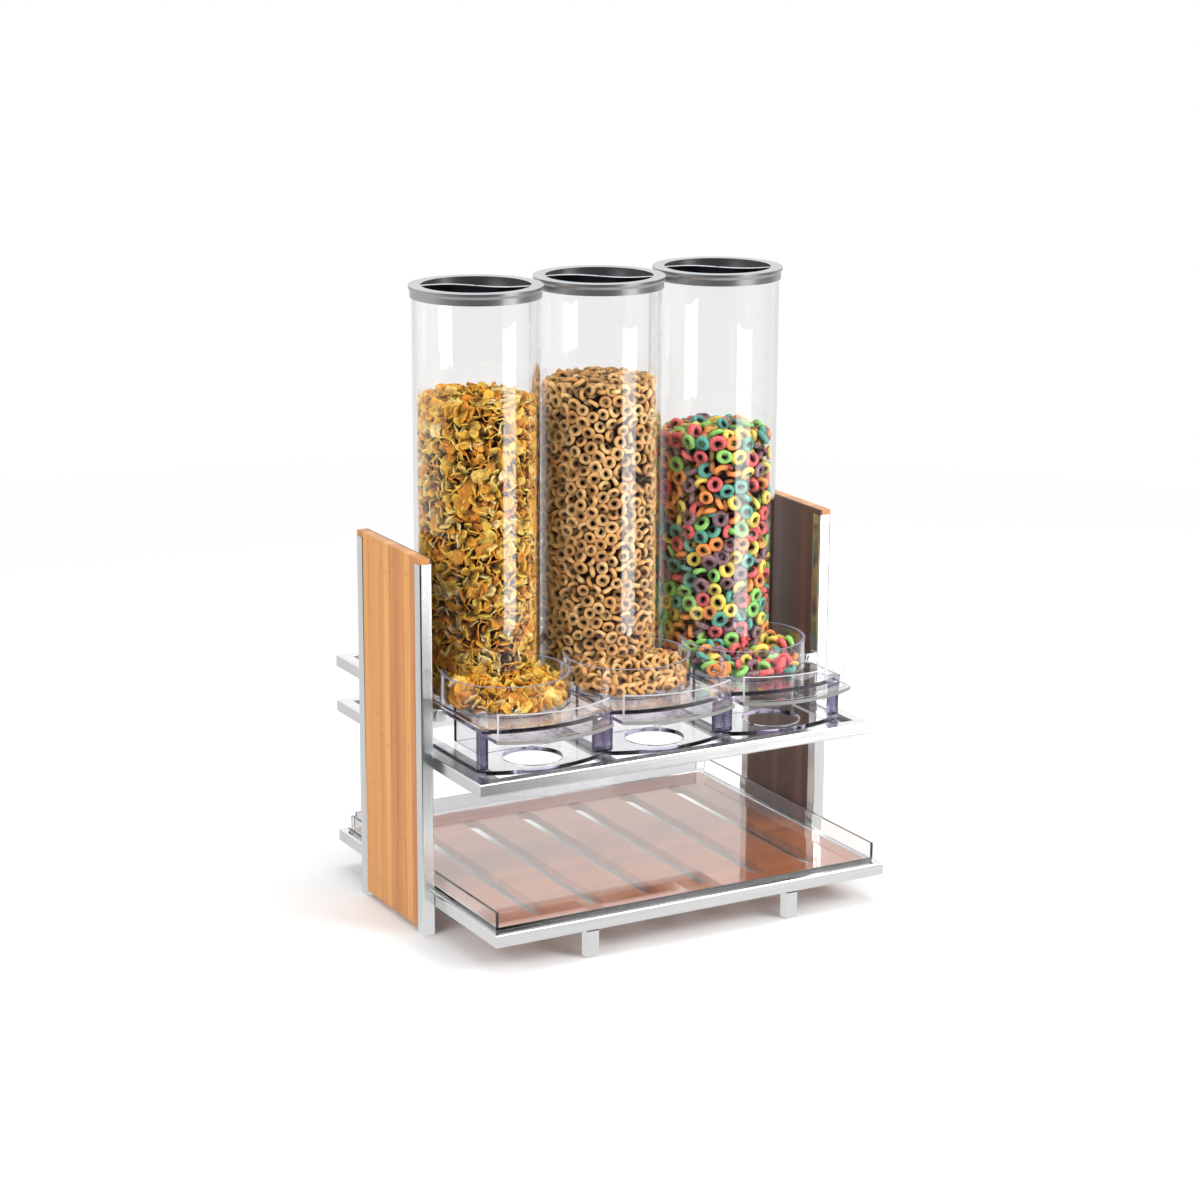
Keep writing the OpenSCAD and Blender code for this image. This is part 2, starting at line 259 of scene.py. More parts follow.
def make_crust_and_pile_shade():
    """Baked crust: spots and blisters over a base colour, with painted shade that darkens it the deeper it
    lies in the pile.
    """
    sheet = Effect("crust_and_pile_shade",
                   {"Place": "Vector", "Scale": "Float", "Base": "Color", "Spots": "Color",
                    "Amount": "Float", "Depth": "Float", "Shadow": "Color"},
                   {"Color": "Color", "Mottle": "Float", "Height": "Float"})
    given = sheet.given
    mottle = sheet.noise(given["Place"], given["Scale"], 5.0, 0.65)
    spots = sheet.math("MULTIPLY", sheet.fit(mottle, 0.0, 1.0, 0.42, 0.68), given["Amount"])
    crust = sheet.mix(spots, given["Base"], given["Spots"])
    # Painted shade between the items: the deeper, the darker.
    pile_shade = sheet.math("POWER", given["Depth"], 0.8)
    shaded = sheet.mix(pile_shade, crust, sheet.mix(1.0, crust, given["Shadow"], "MULTIPLY"))
    fine = sheet.noise(given["Place"], sheet.math("MULTIPLY", given["Scale"], 2.1), 3.0, 0.6)
    sheet.give(Color=shaded, Mottle=mottle, Height=sheet.total(mottle, 1.3, fine, 0.5))
    return sheet


# ---------------------------------------------------------------- materials

def steel(name, along):
    """Polished square tube with a fine lengthwise grain and a few handling smudges."""
    shader = Shader(name)
    bright, across, lengthwise = (0.80, 0.81, 0.80), 420.0, 6.0
    grain = shader.effect(finishes["grain"], Place=shader.place(), Bright=bright,
                          Stretch=tuple(lengthwise if axis == along else across for axis in "XYZ"),
                          Dull=tuple(c * 0.88 for c in bright))
    shader.put(Base_Color=grain["Color"], Metallic=1.0, Roughness=shader.fit(grain["Wear"], 0.14, 0.30))
    shader.bump(grain["Height"], 0.00003, 0.5)
    return shader.material


def bamboo(name, order, strip, contrast, knuckle, light, middle, dark, inner=None):
    """Oiled bamboo. order names the axes across the strips, through them and along the grain.
    With inner, the face towards the middle of the stand is coloured dark brown."""
    shader = Shader(name)
    axes = shader.split(shader.place())
    turned = shader.add("CombineXYZ")
    for socket, letter in zip(turned.inputs, order):
        shader.feed(socket, axes["XYZ".index(letter)])
    wood = shader.effect(finishes["strips"], Place=turned.outputs[0], Strip=strip, Contrast=contrast,
                         Knuckle=knuckle, Light=light, Middle=middle, Dark=dark)
    colour = wood["Color"]
    if inner is not None:
        inner_face = shader.math("LESS_THAN", shader.math("ABSOLUTE", axes[0]), inner)
        inner_colour = shader.ramp(wood["Look"], [(0.34, (0.078, 0.032, 0.021)), (0.52, (0.115, 0.049, 0.032)),
                                             (0.70, (0.165, 0.074, 0.048))])
        colour = shader.mix(inner_face, colour, inner_colour)
    shader.put(Base_Color=colour, Roughness=shader.fit(wood["Fibre"], 0.34, 0.52), Coat_Weight=0.25,
               Coat_Roughness=0.22)
    shader.bump(wood["Height"], 0.00006, 0.6)
    return shader.material


def clear_plastic(name, colour, roughness=0.0):
    """Clear acrylic that lets lamplight through, with a faint haze of fine wiping marks."""
    shader = Shader(name)
    haze = shader.effect(finishes["fleck"], Place=shader.place(), Scale=60.0,
                         Low=tuple(c * 0.99 for c in colour), High=colour)
    shader.put(Base_Color=haze["Color"], Roughness=roughness, IOR=1.49, Transmission_Weight=1.0)
    through = shader.add("BsdfTransparent")
    shader.feed(through.inputs["Color"], tuple(c ** 0.5 for c in colour))
    shadow = shader.add("LightPath").outputs["Is Shadow Ray"]
    shader.show(shader.layer(shadow, shader.surface.outputs[0], through.outputs[0]))
    return shader.material


def edge_highlight_and_glue(name, colour, transmission, blisters=0.0):
    """A cut edge of acrylic, partly clear and partly a pale colour that is a painted highlight for the
    light it catches; with blisters, a line of bubbly cement.
    """
    shader = Shader(name)
    where = shader.place()
    cloud = shader.effect(finishes["fleck"], Place=where, Scale=260.0,
                          Low=tuple(c * 0.86 for c in colour), High=colour)
    shader.put(Base_Color=cloud["Color"], Roughness=0.30, IOR=1.49, Transmission_Weight=transmission)
    if blisters:
        shader.bump(shader.noise(where, 700.0, 2.0), blisters, 1.0)
    return shader.material


def lid_plastic():
    """Silver-grey moulded plastic, with painted shade down in the finger recess."""
    shader = Shader("lid_plastic")
    where = shader.place()
    fleck = shader.effect(finishes["fleck"], Place=where, Scale=2600.0, Low=(0.34, 0.35, 0.36),
                          High=(0.46, 0.47, 0.48))
    tone = shader.noise(where, 40.0, 2.0)
    silver = shader.mix(0.5, fleck["Color"],
                        shader.ramp(tone, [(0.3, (0.38, 0.385, 0.395)), (0.7, (0.42, 0.425, 0.435))]))
    # Painted shade: the recess goes near black, its far wall half dark.
    colour = shader.mix(shader.attribute("recess_shade"), silver, (0.006, 0.007, 0.012))
    shader.put(Base_Color=colour, Roughness=shader.fit(fleck["Mask"], 0.24, 0.36), Metallic=0.85)
    shader.bump(fleck["Mask"], 0.00002, 0.4)
    return shader.material


def dark_plastic():
    shader = Shader("dark_plastic")
    fleck = shader.effect(finishes["fleck"], Place=shader.place(), Scale=900.0, Low=(0.018, 0.018, 0.02),
                          High=(0.035, 0.035, 0.038))
    shader.put(Base_Color=fleck["Color"], Roughness=shader.fit(fleck["Mask"], 0.45, 0.65))
    return shader.material


def clear_rubber():
    shader = Shader("clear_rubber")
    haze = shader.effect(finishes["fleck"], Place=shader.place(), Scale=300.0, Low=(0.86, 0.87, 0.87),
                         High=(0.94, 0.95, 0.95))
    shader.put(Base_Color=haze["Color"], Roughness=0.25, IOR=1.45, Transmission_Weight=0.85)
    return shader.material


def toasted(name, tones, spots, shadow, amount=0.75, bump=0.00025):
    """Cereal crust with the item's own tone, and painted shade from its depth in the pile."""
    shader = Shader(name)
    base = shader.ramp(shader.attribute("item_tone"), tones)
    crust = shader.effect(finishes["crust"], Place=shader.place(), Scale=420.0, Base=base, Spots=spots,
                          Amount=amount, Depth=shader.attribute("item_shade"), Shadow=shadow)
    shader.put(Base_Color=crust["Color"], Roughness=shader.fit(crust["Mottle"], 0.55, 0.8))
    shader.bump(crust["Height"], bump, 0.9)
    return shader.material


def coloured_crust(name, colours, glaze, shadow):
    """Loops in several colours, one for each item, under a fine sugar glaze, with painted shade from their
    depth in the pile.
    """
    shader = Shader(name)
    stops = [(k / len(colours), colour) for k, colour in enumerate(colours)]
    base = shader.ramp(shader.attribute("item_tone"), stops, constant=True)
    crust = shader.effect(finishes["crust"], Place=shader.place(), Scale=520.0, Base=base,
                          Spots=shader.mix(0.45, base, glaze), Amount=0.6,
                          Depth=shader.attribute("item_shade"), Shadow=shadow)
    shader.put(Base_Color=crust["Color"], Roughness=shader.fit(crust["Mottle"], 0.4, 0.65))
    shader.bump(crust["Height"], 0.00022, 0.9)
    return shader.material


# ---------------------------------------------------------------- camera, floor and lights

def point_at(thing, place, aim, roll=0.0):
    """Puts a camera or lamp at a place, turned towards a point."""
    turn = (Vector(aim) - Vector(place)).to_track_quat("-Z", "Y").to_matrix()
    thing.rotation_mode = "QUATERNION"
    thing.location = place
    thing.rotation_quaternion = (turn @ Matrix.Rotation(roll, 3, "Z")).to_quaternion()
    bpy.context.scene.collection.objects.link(thing)


def make_camera():
    """The viewing angle: from the front left and a little above, with a long lens."""
    azimuth, elevation, roll = math.radians(-29.16), math.radians(14.54), math.radians(0.29)
    distance = 2.807
    target = Vector((-0.009, 0.0, 0.2779))
    back = Vector((math.sin(azimuth) * math.cos(elevation), -math.cos(azimuth) * math.cos(elevation),
                   math.sin(elevation)))
    lens = bpy.data.cameras.new("camera")
    lens.sensor_width = 36.0
    lens.lens = 91.34
    lens.clip_start, lens.clip_end = 0.05, 50.0
    camera = bpy.data.objects.new("camera", lens)
    point_at(camera, target + back * distance, target, roll)
    bpy.context.scene.camera = camera


def make_light(name, place, aim, size, power):
    """A rectangular softbox."""
    data = bpy.data.lights.new(name, "AREA")
    data.shape = "RECTANGLE"
    data.size, data.size_y = size
    data.energy = power
    lamp = bpy.data.objects.new(name, data)
    point_at(lamp, place, aim)
    lamp.visible_camera = False
    return lamp


def heading(sheet, axes):
    """From 0 to 1, how far a horizontal direction agrees with the front left."""
    return sheet.math("MULTIPLY_ADD", sheet.total(axes[0], FRONT_LEFT[0], axes[1], FRONT_LEFT[1]), 0.5, 0.5)


def bounced(sheet, path, kind):
    """1 for light that has bounced in this way at least once."""
    return sheet.math("GREATER_THAN", path[kind + " Depth"], 0.5)


def make_world():
    """A white room. Its mirror image in polished parts has a dark front left, where no lamp stands."""
    world = bpy.data.worlds.new("studio")
    bpy.context.scene.world = world
    world.use_nodes = True
    sheet = NodeSheet(world.node_tree)
    sheet.tree.nodes.clear()
    axes = sheet.split(sheet.add("TexCoord").outputs["Generated"])
    depth = sheet.math("MULTIPLY_ADD", axes["Y"], 0.5, 0.5)
    back = sheet.ramp(depth, [(0.0, 0.22), (0.5, 0.42), (0.72, 0.95), (0.9, 1.0)])
    flag = sheet.ramp(heading(sheet, axes), [(0.66, 1.0), (0.88, 0.06)])
    path = sheet.add("LightPath").outputs
    plain, mirrored, lighting = [sheet.add("Background") for _ in range(3)]
    for shade, level, strength in ((plain, WHITE, 1.0), (lighting, WHITE, 0.62),
                                   (mirrored, sheet.math("MULTIPLY", back, flag), 1.15)):
        sheet.feed(shade.inputs["Color"], level)
        sheet.feed(shade.inputs["Strength"], strength)
    surface = plain.outputs[0]
    for kind, shade in (("Glossy", mirrored), ("Diffuse", lighting)):
        surface = sheet.layer(bounced(sheet, path, kind), surface, shade.outputs[0])
    sheet.feed(sheet.add("OutputWorld").inputs["Surface"], surface)


def floor_paint():
    """Pale floor, white far away. Polished parts mirror it darker at the front left and far off."""
    shader = Shader("floor_paint")
    shader.put(Base_Color=(0.90, 0.90, 0.90), Roughness=0.7, Specular_IOR_Level=0.1)
    where = shader.place()
    axes = shader.split(where)
    length = shader.add("VectorMath", operation="LENGTH")
    shader.feed(length.inputs[0], where)
    reach = length.outputs["Value"]
    axes = [shader.math("DIVIDE", axes[k], reach) for k in (0, 1)]
    half = shader.math("MULTIPLY", reach, 0.5)
    to_back = shader.ramp(shader.math("MULTIPLY_ADD", axes[1], 0.5, 0.5), [(0.40, 0.0), (0.62, 1.0)])
    near = shader.ramp(half, [(0.40, 0.90), (0.58, 0.10)])
    flag = shader.ramp(heading(shader, axes), [(0.78, 0.0), (0.94, 0.92)])
    apart = shader.ramp(half, [(0.17, 0.0), (0.30, 1.0)])
    open_floor = shader.math("SUBTRACT", 1.0, shader.math("MULTIPLY", flag, apart))
    front = shader.math("MULTIPLY", near, open_floor)
    back = shader.math("MULTIPLY", to_back, 0.78)
    level = shader.math("MULTIPLY_ADD", front, shader.math("SUBTRACT", 1.0, to_back), back)
    path = shader.add("LightPath").outputs
    reflected = shader.math("SUBTRACT", bounced(shader, path, "Glossy"), bounced(shader, path, "Diffuse"))
    far = shader.ramp(shader.math("MULTIPLY", reach, 0.25), [(0.16, 0.0), (0.5, 1.0)])
    surface = shader.surface.outputs[0]
    for factor, colour in ((far, WHITE), (shader.math("MAXIMUM", reflected, 0.0), level)):
        glow = shader.add("Emission")
        shader.feed(glow.inputs["Color"], colour)
        surface = shader.layer(factor, surface, glow.outputs[0])
    shader.show(surface)
    return shader.material


def make_stage():
    scene = bpy.context.scene
    scene.view_settings.view_transform = "Standard"
    scene.cycles.max_bounces = 24
    scene.cycles.transmission_bounces = 20
    scene.cycles.glossy_bounces = 10
    scene.cycles.transparent_max_bounces = 24
    make_world()
    bpy.ops.mesh.primitive_plane_add(size=80.0, location=(0, 0, -0.0002))
    floor = bpy.context.active_object
    floor.name = "floor"
    floor.data.materials.append(floor_paint())
    make_light("right_softbox", (1.5, -1.9, 1.7), (0, 0, 0.3), (1.2, 1.2), 50)
    make_light("left_softbox", (-2.3, -0.7, 1.5), (0, 0, 0.25), (1.4, 1.4), 27)
    make_light("top_softbox", (0.1, 0.2, 2.4), (0, 0, 0.2), (1.6, 1.4), 26)
    streak = make_light("streak_card", (0.47, -0.83, 0.19), (0, 0, 0.19), (0.48, 0.38), 2.6)
    streak.visible_diffuse = False


# ---------------------------------------------------------------- modelling helpers

def pick(*pieces):
    """Selects these pieces alone and makes the first one active."""
    bpy.ops.object.select_all(action="DESELECT")
    for piece in pieces:
        piece.select_set(True)
    bpy.context.view_layer.objects.active = pieces[0]


def settle(piece, name):
    """Names a piece and puts its place into its mesh, so that the object sits at the origin."""
    piece.name = name
    piece.data.name = name
    pick(piece)
    bpy.ops.object.transform_apply(location=True, rotation=True, scale=True)
    return piece


def block(name, low, high):
    """A rectangular block between two corners."""
    low, high = Vector(low), Vector(high)
    bpy.ops.mesh.primitive_cube_add(size=1.0, location=(low + high) / 2, scale=high - low)
    return settle(bpy.context.active_object, name)


def rod(name, centre, radius, z0, z1, sides=192, top_radius=None):
    """An upright cylinder, or a cone frustum with top_radius."""
    place = (centre[0], centre[1], (z0 + z1) / 2)
    if top_radius is None:
        bpy.ops.mesh.primitive_cylinder_add(vertices=sides, radius=radius, depth=z1 - z0, location=place)
    else:
        bpy.ops.mesh.primitive_cone_add(vertices=sides, radius1=radius, radius2=top_radius, depth=z1 - z0,
                                        location=place)
    return settle(bpy.context.active_object, name)


def apply(piece, kind, **settings):
    """Gives a piece a modifier with these settings and applies it."""
    bpy.context.view_layer.objects.active = piece
    modifier = piece.modifiers.new(kind.lower(), kind)
    for key, value in settings.items():
        setattr(modifier, key, value)
    bpy.ops.object.modifier_apply(modifier=modifier.name)


def combine(piece, tools, operation):
    """Booleans of a piece with tools, which are used up."""
    for tool in tools:
        apply(piece, "BOOLEAN", operation=operation, solver="EXACT", object=tool)
        bpy.data.objects.remove(tool, do_unlink=True)
    return piece


def cut(piece, *tools):
    return combine(piece, tools, "DIFFERENCE")


def keep_within(piece, *tools):
    return combine(piece, tools, "INTERSECT")


def weld(piece, *tools):
    return combine(piece, tools, "UNION")


def soften(piece, width, segments=2, angle=35):
    """Rounds the sharp edges and shades them smooth, leaning on the flats beside them."""
    apply(piece, "BEVEL", limit_method="ANGLE", angle_limit=math.radians(angle), width=width,
          segments=segments, use_clamp_overlap=True)
    smooth(piece)
    apply(piece, "WEIGHTED_NORMAL", keep_sharp=True, weight=60)
    return piece


def edge_finish(piece, material, test):
    """Gives a second material to the faces whose centre and normal pass the test."""
    piece.data.materials.append(material)
    for face in piece.data.polygons:
        if test(face.center, face.normal):
            face.material_index = len(piece.data.materials) - 1


def smooth(piece):
    pick(piece)
    bpy.ops.object.shade_smooth_by_angle(angle=math.radians(32))


def join(first, second):
    """Makes one piece of two. The first may still be None."""
    if first is None:
        return second
    pick(first, second)
    bpy.ops.object.join()
    return first


def hand_over(piece, material, body, slot, *nodes, edges=()):
    """Gives a finished piece its materials and its body, and hides the CAD nodes it stands for. slot is not
    used.
    """
    piece.data.materials.clear()
    piece.data.materials.append(material)
    for face_material, test in edges:
        edge_finish(piece, face_material, test)
    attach(piece, body)
    if nodes:
        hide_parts(*nodes)
    return piece


def repaint(material, *nodes):
    for node in nodes:
        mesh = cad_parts[node].data
        mesh.materials.clear()
        mesh.materials.append(material)


# ---------------------------------------------------------------- stand

def make_panel(side):
    """Side panel with its two ears, edges eased by hand."""
    node = f"panel_{side}"
    low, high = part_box(node)
    _, post_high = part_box(f"post_front_{side}")
    rear_low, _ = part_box(f"post_rear_{side}")
    gap = 0.3 * MM
    panel = block(node + "_wood", (low.x, post_high.y + gap, low.z), (high.x, rear_low.y - gap, high.z))
    weld(panel, block("ears", (low.x, low.y, post_high.z), high))
    soften(panel, 0.7 * MM, 3)
    return hand_over(panel, paints["side_bamboo"], "stand", "side_bamboo", node)


def make_board():
    """Slotted board with eased slots."""
    low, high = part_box("slotted_board")
    board = block("slotted_board_wood", low, high)
    slot_w, pitch, count = 16 * MM, 57 * MM, 6
    y0, y1 = low.y + 15 * MM + slot_w / 2, high.y - 30 * MM - slot_w / 2
    for k in range(count):
        x = (k - (count - 1) / 2) * pitch
        slot = block("slot", (x - slot_w / 2, y0, low.z - MM), (x + slot_w / 2, y1, high.z + MM))
        for y in (y0, y1):
            weld(slot, rod("slot_end", (x, y), slot_w / 2, low.z - MM, high.z + MM, 32))
        cut(board, slot)
    soften(board, 0.8 * MM, 2)
    return hand_over(board, paints["board_bamboo"], "stand", "board_bamboo", "slotted_board")


def make_tray():
    """Tray bent from one clear sheet: rounded bends, open rear corners, polished edges."""
    low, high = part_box("tray")
    notch, bend = 8 * MM, 2.4 * MM
    tray = block("tray_sheet", low, high)
    cut(tray, block("pocket", (low.x + SHEET, low.y - MM, low.z + SHEET),
                    (high.x - SHEET, high.y - SHEET, high.z + MM)))
    for x0, x1 in ((low.x - MM, low.x + notch), (high.x - notch, high.x + MM)):
        cut(tray, block("notch", (x0, high.y - notch, low.z + SHEET), (x1, high.y + MM, high.z + MM)))
    round_bends(tray, low, high, bend)
    soften(tray, 0.35 * MM, 2)

    def is_rim(centre, normal):
        front = normal.y < -0.8 and centre.y < low.y + MM
        top = normal.z > 0.8 and centre.z > high.z - MM
        return front or top or (normal.y > 0.8 and centre.z > low.z + 2 * SHEET)

    return hand_over(tray, paints["clear_sheet"], "tray", "clear_sheet", "tray",
                     edges=[(paints["sheet_edge"], is_rim)])


def round_bends(tray, low, high, bend):
    """Bevels the long outer edges under the upstands into bends."""
    def same(a, b):
        return abs(a - b) < 1e-5

    pick(tray)
    bpy.ops.object.mode_set(mode="EDIT")
    bpy.ops.mesh.select_mode(type="EDGE")
    bpy.ops.mesh.select_all(action="DESELECT")
    bpy.ops.object.mode_set(mode="OBJECT")
    for edge in tray.data.edges:
        a, b = (tray.data.vertices[v].co for v in edge.vertices)
        on_floor = same(a.z, low.z) and same(b.z, low.z)
        at_side = same(a.x, b.x) and (same(a.x, low.x) or same(a.x, high.x))
        at_rear = same(a.y, high.y) and same(b.y, high.y)
        edge.select = on_floor and (at_side or at_rear)
    bpy.ops.object.mode_set(mode="EDIT")
    bpy.ops.mesh.bevel(offset=bend, segments=5, affect="EDGES")
    bpy.ops.object.mode_set(mode="OBJECT")


def dress_stand():
    """The stand's metal and plastic keep their CAD shape; the wood and the tray are modelled anew."""
    repaint(paints["steel_z"], "post_front_left", "post_front_right", "post_rear_left",
            "post_rear_right", "front_legs")
    repaint(paints["steel_x"], "upper_rail_front", "upper_rail_rear", "lower_rail_front",
            "lower_rail_rear", "guard_bar_rear", "board_ledges")
    repaint(paints["steel_y"], "upper_rail_left", "upper_rail_right", "lower_rail_left",
            "lower_rail_right", "guard_bar_left", "guard_bar_right", "guard_plugs", "support_strips")
    repaint(paints["dark_plastic"], "post_plugs", "leg_plugs", "leg_spacers")
    for side in ("left", "right"):
        make_panel(side)
    make_board()
    make_tray()


# ---------------------------------------------------------------- dispensers

def outline_block(name, side, z0, z1):
    """Plate with the bowed front edge shared by the base plate and the top plate."""
    low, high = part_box(f"base_plate_{side}")
    bow = 134 * MM
    centre = ((low.x + high.x) / 2, low.y + bow)
    plate = block(name, (low.x, low.y - 5 * MM, z0), (high.x, high.y, z1))
    return keep_within(plate, rod("bow", centre, bow, z0 - MM, z1 + MM, 512))


def is_side(centre, normal):
    return abs(normal.z) < 0.8


def is_top(centre, normal):
    return normal.z > 0.8


def make_dispenser(side):
    body = f"dispenser_{side}"
    tube_low, tube_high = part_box(f"tube_{side}")
    cup_low, cup_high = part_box(f"cup_wall_{side}")
    x = (tube_low.x + tube_high.x) / 2
    tube_r = (tube_high.x - tube_low.x) / 2
    bore_r = tube_r - TUBE_WALL
    tube_c = (x, tube_high.y - tube_r)
    cup_r = 59 * MM
    cup_c = (x, cup_low.y + cup_r)
    sawn = [(paints["purple_edge"], is_side)]

    low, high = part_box(f"base_plate_{side}")
    plate = outline_block(f"base_plate_{side}_sheet", side, low.z, high.z)
    cut(plate, rod("drop_hole", (x, low.y + 35 * MM), 27 * MM, low.z - MM, high.z + MM, 96))
    soften(plate, 0.4 * MM, 2)
    hand_over(plate, paints["clear_acrylic"], body, "clear_acrylic", f"base_plate_{side}", edges=sawn)

    low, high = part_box(f"top_plate_{side}")
    pocket_low, pocket_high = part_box(f"drawer_pocket_{side}")
    plate = outline_block(f"top_plate_{side}_sheet", side, low.z, high.z)
    cut(plate, block("opening", (pocket_low.x + 2 * MM, pocket_low.y + 2 * MM, low.z - MM),
                     (pocket_high.x - 2 * MM, pocket_high.y - 2 * MM, high.z + MM)))
    soften(plate, 0.4 * MM, 2)
    hand_over(plate, paints["clear_acrylic"], body, "clear_acrylic", f"top_plate_{side}", edges=sawn)

    low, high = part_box(f"columns_{side}")
    width = 8 * MM
    columns = None
    for x0 in (low.x, high.x - width):
        for y0 in (low.y, high.y - width):
            post = block("column", (x0, y0, low.z), (x0 + width, y0 + width, high.z))
            soften(post, 0.5 * MM, 2)
            columns = join(columns, post)
    columns.name = f"columns_{side}_posts"
    hand_over(columns, paints["purple_column"], body, "clear_acrylic", f"columns_{side}")

    cup = rod(f"cup_wall_{side}_sheet", cup_c, cup_r, cup_low.z, cup_high.z, 256)
    cut(cup, rod("inside", cup_c, cup_r - SHEET, cup_low.z - MM, cup_high.z + MM, 256),
        rod("tube_space", tube_c, tube_r + 0.02 * MM, cup_low.z - MM, cup_high.z + MM, 256))
    soften(cup, 0.5 * MM, 2)
    hand_over(cup, paints["clear_acrylic"], body, "clear_acrylic", f"cup_wall_{side}",
              edges=[(paints["rim_edge"], is_top)])

    tube = rod(f"tube_{side}_wall", tube_c, tube_r, tube_low.z, tube_high.z, 256)
    cut(tube, rod("bore", tube_c, bore_r, tube_low.z - MM, tube_high.z + MM, 256),
        block("foot_opening", (x - tube_r - MM, tube_c[1] - tube_r - 5 * MM, tube_low.z - MM),
              (x + tube_r + MM, FOOT_OPENING_BACK, tube_low.z + 27 * MM)))
    soften(tube, 0.5 * MM, 2)
    hand_over(tube, paints["clear_tube"], body, "clear_tube", f"tube_{side}")

    repaint(paints["clear_rubber"], f"bumper_feet_{side}")
    make_drawer(side, x, cup_c)
    make_lid(side, tube_c, tube_r)
    return tube_c, bore_r, cup_c, cup_r - SHEET, tube_low.z


def make_drawer(side, x, cup_c):
    body = f"drawer_{side}"
    low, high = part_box(f"drawer_plate_{side}")
    pocket_low, pocket_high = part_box(f"drawer_pocket_{side}")
    head_y = -109 * MM
    neck = 52.8 * MM
    arc_r = cup_c[1] - low.y
    plate = block(f"drawer_plate_{side}_sheet", (low.x, low.y - 5 * MM, low.z), (high.x, head_y, high.z))
    keep_within(plate, rod("arc", cup_c, arc_r, low.z - MM, high.z + MM, 512))
    weld(plate, block("neck", (x - neck, head_y - MM, low.z), (x + neck, high.y, high.z)))
    cut(plate, block("opening", (pocket_low.x + SHEET, pocket_low.y + SHEET, low.z - MM),
                     (pocket_high.x - SHEET, pocket_high.y - SHEET, high.z + MM)))
    soften(plate, 0.4 * MM, 2)

    def is_glue_line(centre, normal):
        reach = math.hypot(centre.x - cup_c[0], centre.y - cup_c[1])
        return is_side(centre, normal) and reach > arc_r - 2 * MM

    hand_over(plate, paints["clear_acrylic"], body, "clear_acrylic", f"drawer_plate_{side}",
              edges=[(paints["purple_edge"], is_side), (paints["glue_line"], is_glue_line)])

    pocket = block(f"drawer_pocket_{side}_box", pocket_low, pocket_high)
    cut(pocket, block("inside", (pocket_low.x + SHEET, pocket_low.y + SHEET, pocket_low.z - MM),
                      (pocket_high.x - SHEET, pocket_high.y - SHEET, pocket_high.z + MM)))
    soften(pocket, 0.3 * MM, 2)
    hand_over(pocket, paints["clear_acrylic"], body, "clear_acrylic", f"drawer_pocket_{side}")

    low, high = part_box(f"drawer_lip_{side}")
    lip_r = cup_c[1] - low.y
    lip = rod(f"drawer_lip_{side}_sheet", cup_c, lip_r, low.z, high.z, 512)
    cut(lip, rod("inside", cup_c, lip_r - SHEET, low.z - MM, high.z + MM, 512))
    keep_within(lip, block("span", (low.x, low.y - MM, low.z - 2 * MM),
                           (high.x, high.y + MM, high.z + 2 * MM)))
    soften(lip, 0.35 * MM, 2)

    def is_cut(centre, normal):
        return normal.z > 0.3 or abs(normal.x) > 0.8

    def is_foot(centre, normal):
        return normal.z < -0.8

    hand_over(lip, paints["clear_acrylic"], body, "clear_acrylic", f"drawer_lip_{side}",
              edges=[(paints["polished_edge_highlight"], is_cut), (paints["glue_line"], is_foot)])


def make_lid(side, centre, tube_r):
    """Lid: rolled rim, skirt with a flare, finger recess and an S-curved grip fin with a dimple."""
    low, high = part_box(f"lid_{side}")
    rim_r = (high.x - low.x) / 2
    skirt_r = tube_r + 1.65 * MM
    seat = high.z - 4 * MM
    bore_r = tube_r - TUBE_WALL
    recess_r = 49.2 * MM
    floor = low.z + 2 * MM
    lid = rod(f"lid_{side}_cap", centre, skirt_r, low.z, seat + 0.5 * MM, 160)
    weld(lid, rod("flare", centre, skirt_r, seat - MM, seat + 1.5 * MM, 160, top_radius=rim_r),
         rod("rim", centre, rim_r, seat + 1.5 * MM, high.z, 160))
    cut(lid, rod("recess", centre, recess_r, floor, high.z + MM, 160))
    groove = rod("groove", centre, tube_r + 0.25 * MM, low.z - MM, seat, 160)
    cut(groove, rod("plug", centre, bore_r - 0.3 * MM, low.z - 2 * MM, seat + MM, 160))
    cut(lid, groove)
    soften(lid, 0.7 * MM, 3, angle=24)
    fin_top = high.z - 0.7 * MM
    lid = join(lid, grip_fin(centre, recess_r, floor - 0.6 * MM, fin_top))
    # Painted shade in the finger recess, face by face: the far wall half dark; the floor, the near wall and
    # the fin's sides near black.
    away = Vector((-math.sin(LID_TURN), math.cos(LID_TURN)))
    shade = lid.data.attributes.new("recess_shade", "FLOAT", "FACE")
    for face in lid.data.polygons:
        offset = Vector((face.center.x - centre[0], face.center.y - centre[1]))
        if low.z + MM < face.center.z < high.z - 1.2 * MM and offset.length < recess_r + 0.1 * MM:
            wall = abs(face.normal.z) < 0.5 and offset.length > recess_r - 0.2 * MM
            shade.data[face.index].value = 0.50 if wall and offset.dot(away) > 0 else 0.97
    hand_over(lid, paints["lid_plastic"], f"lid_{side}", "lid_plastic", f"lid_{side}")


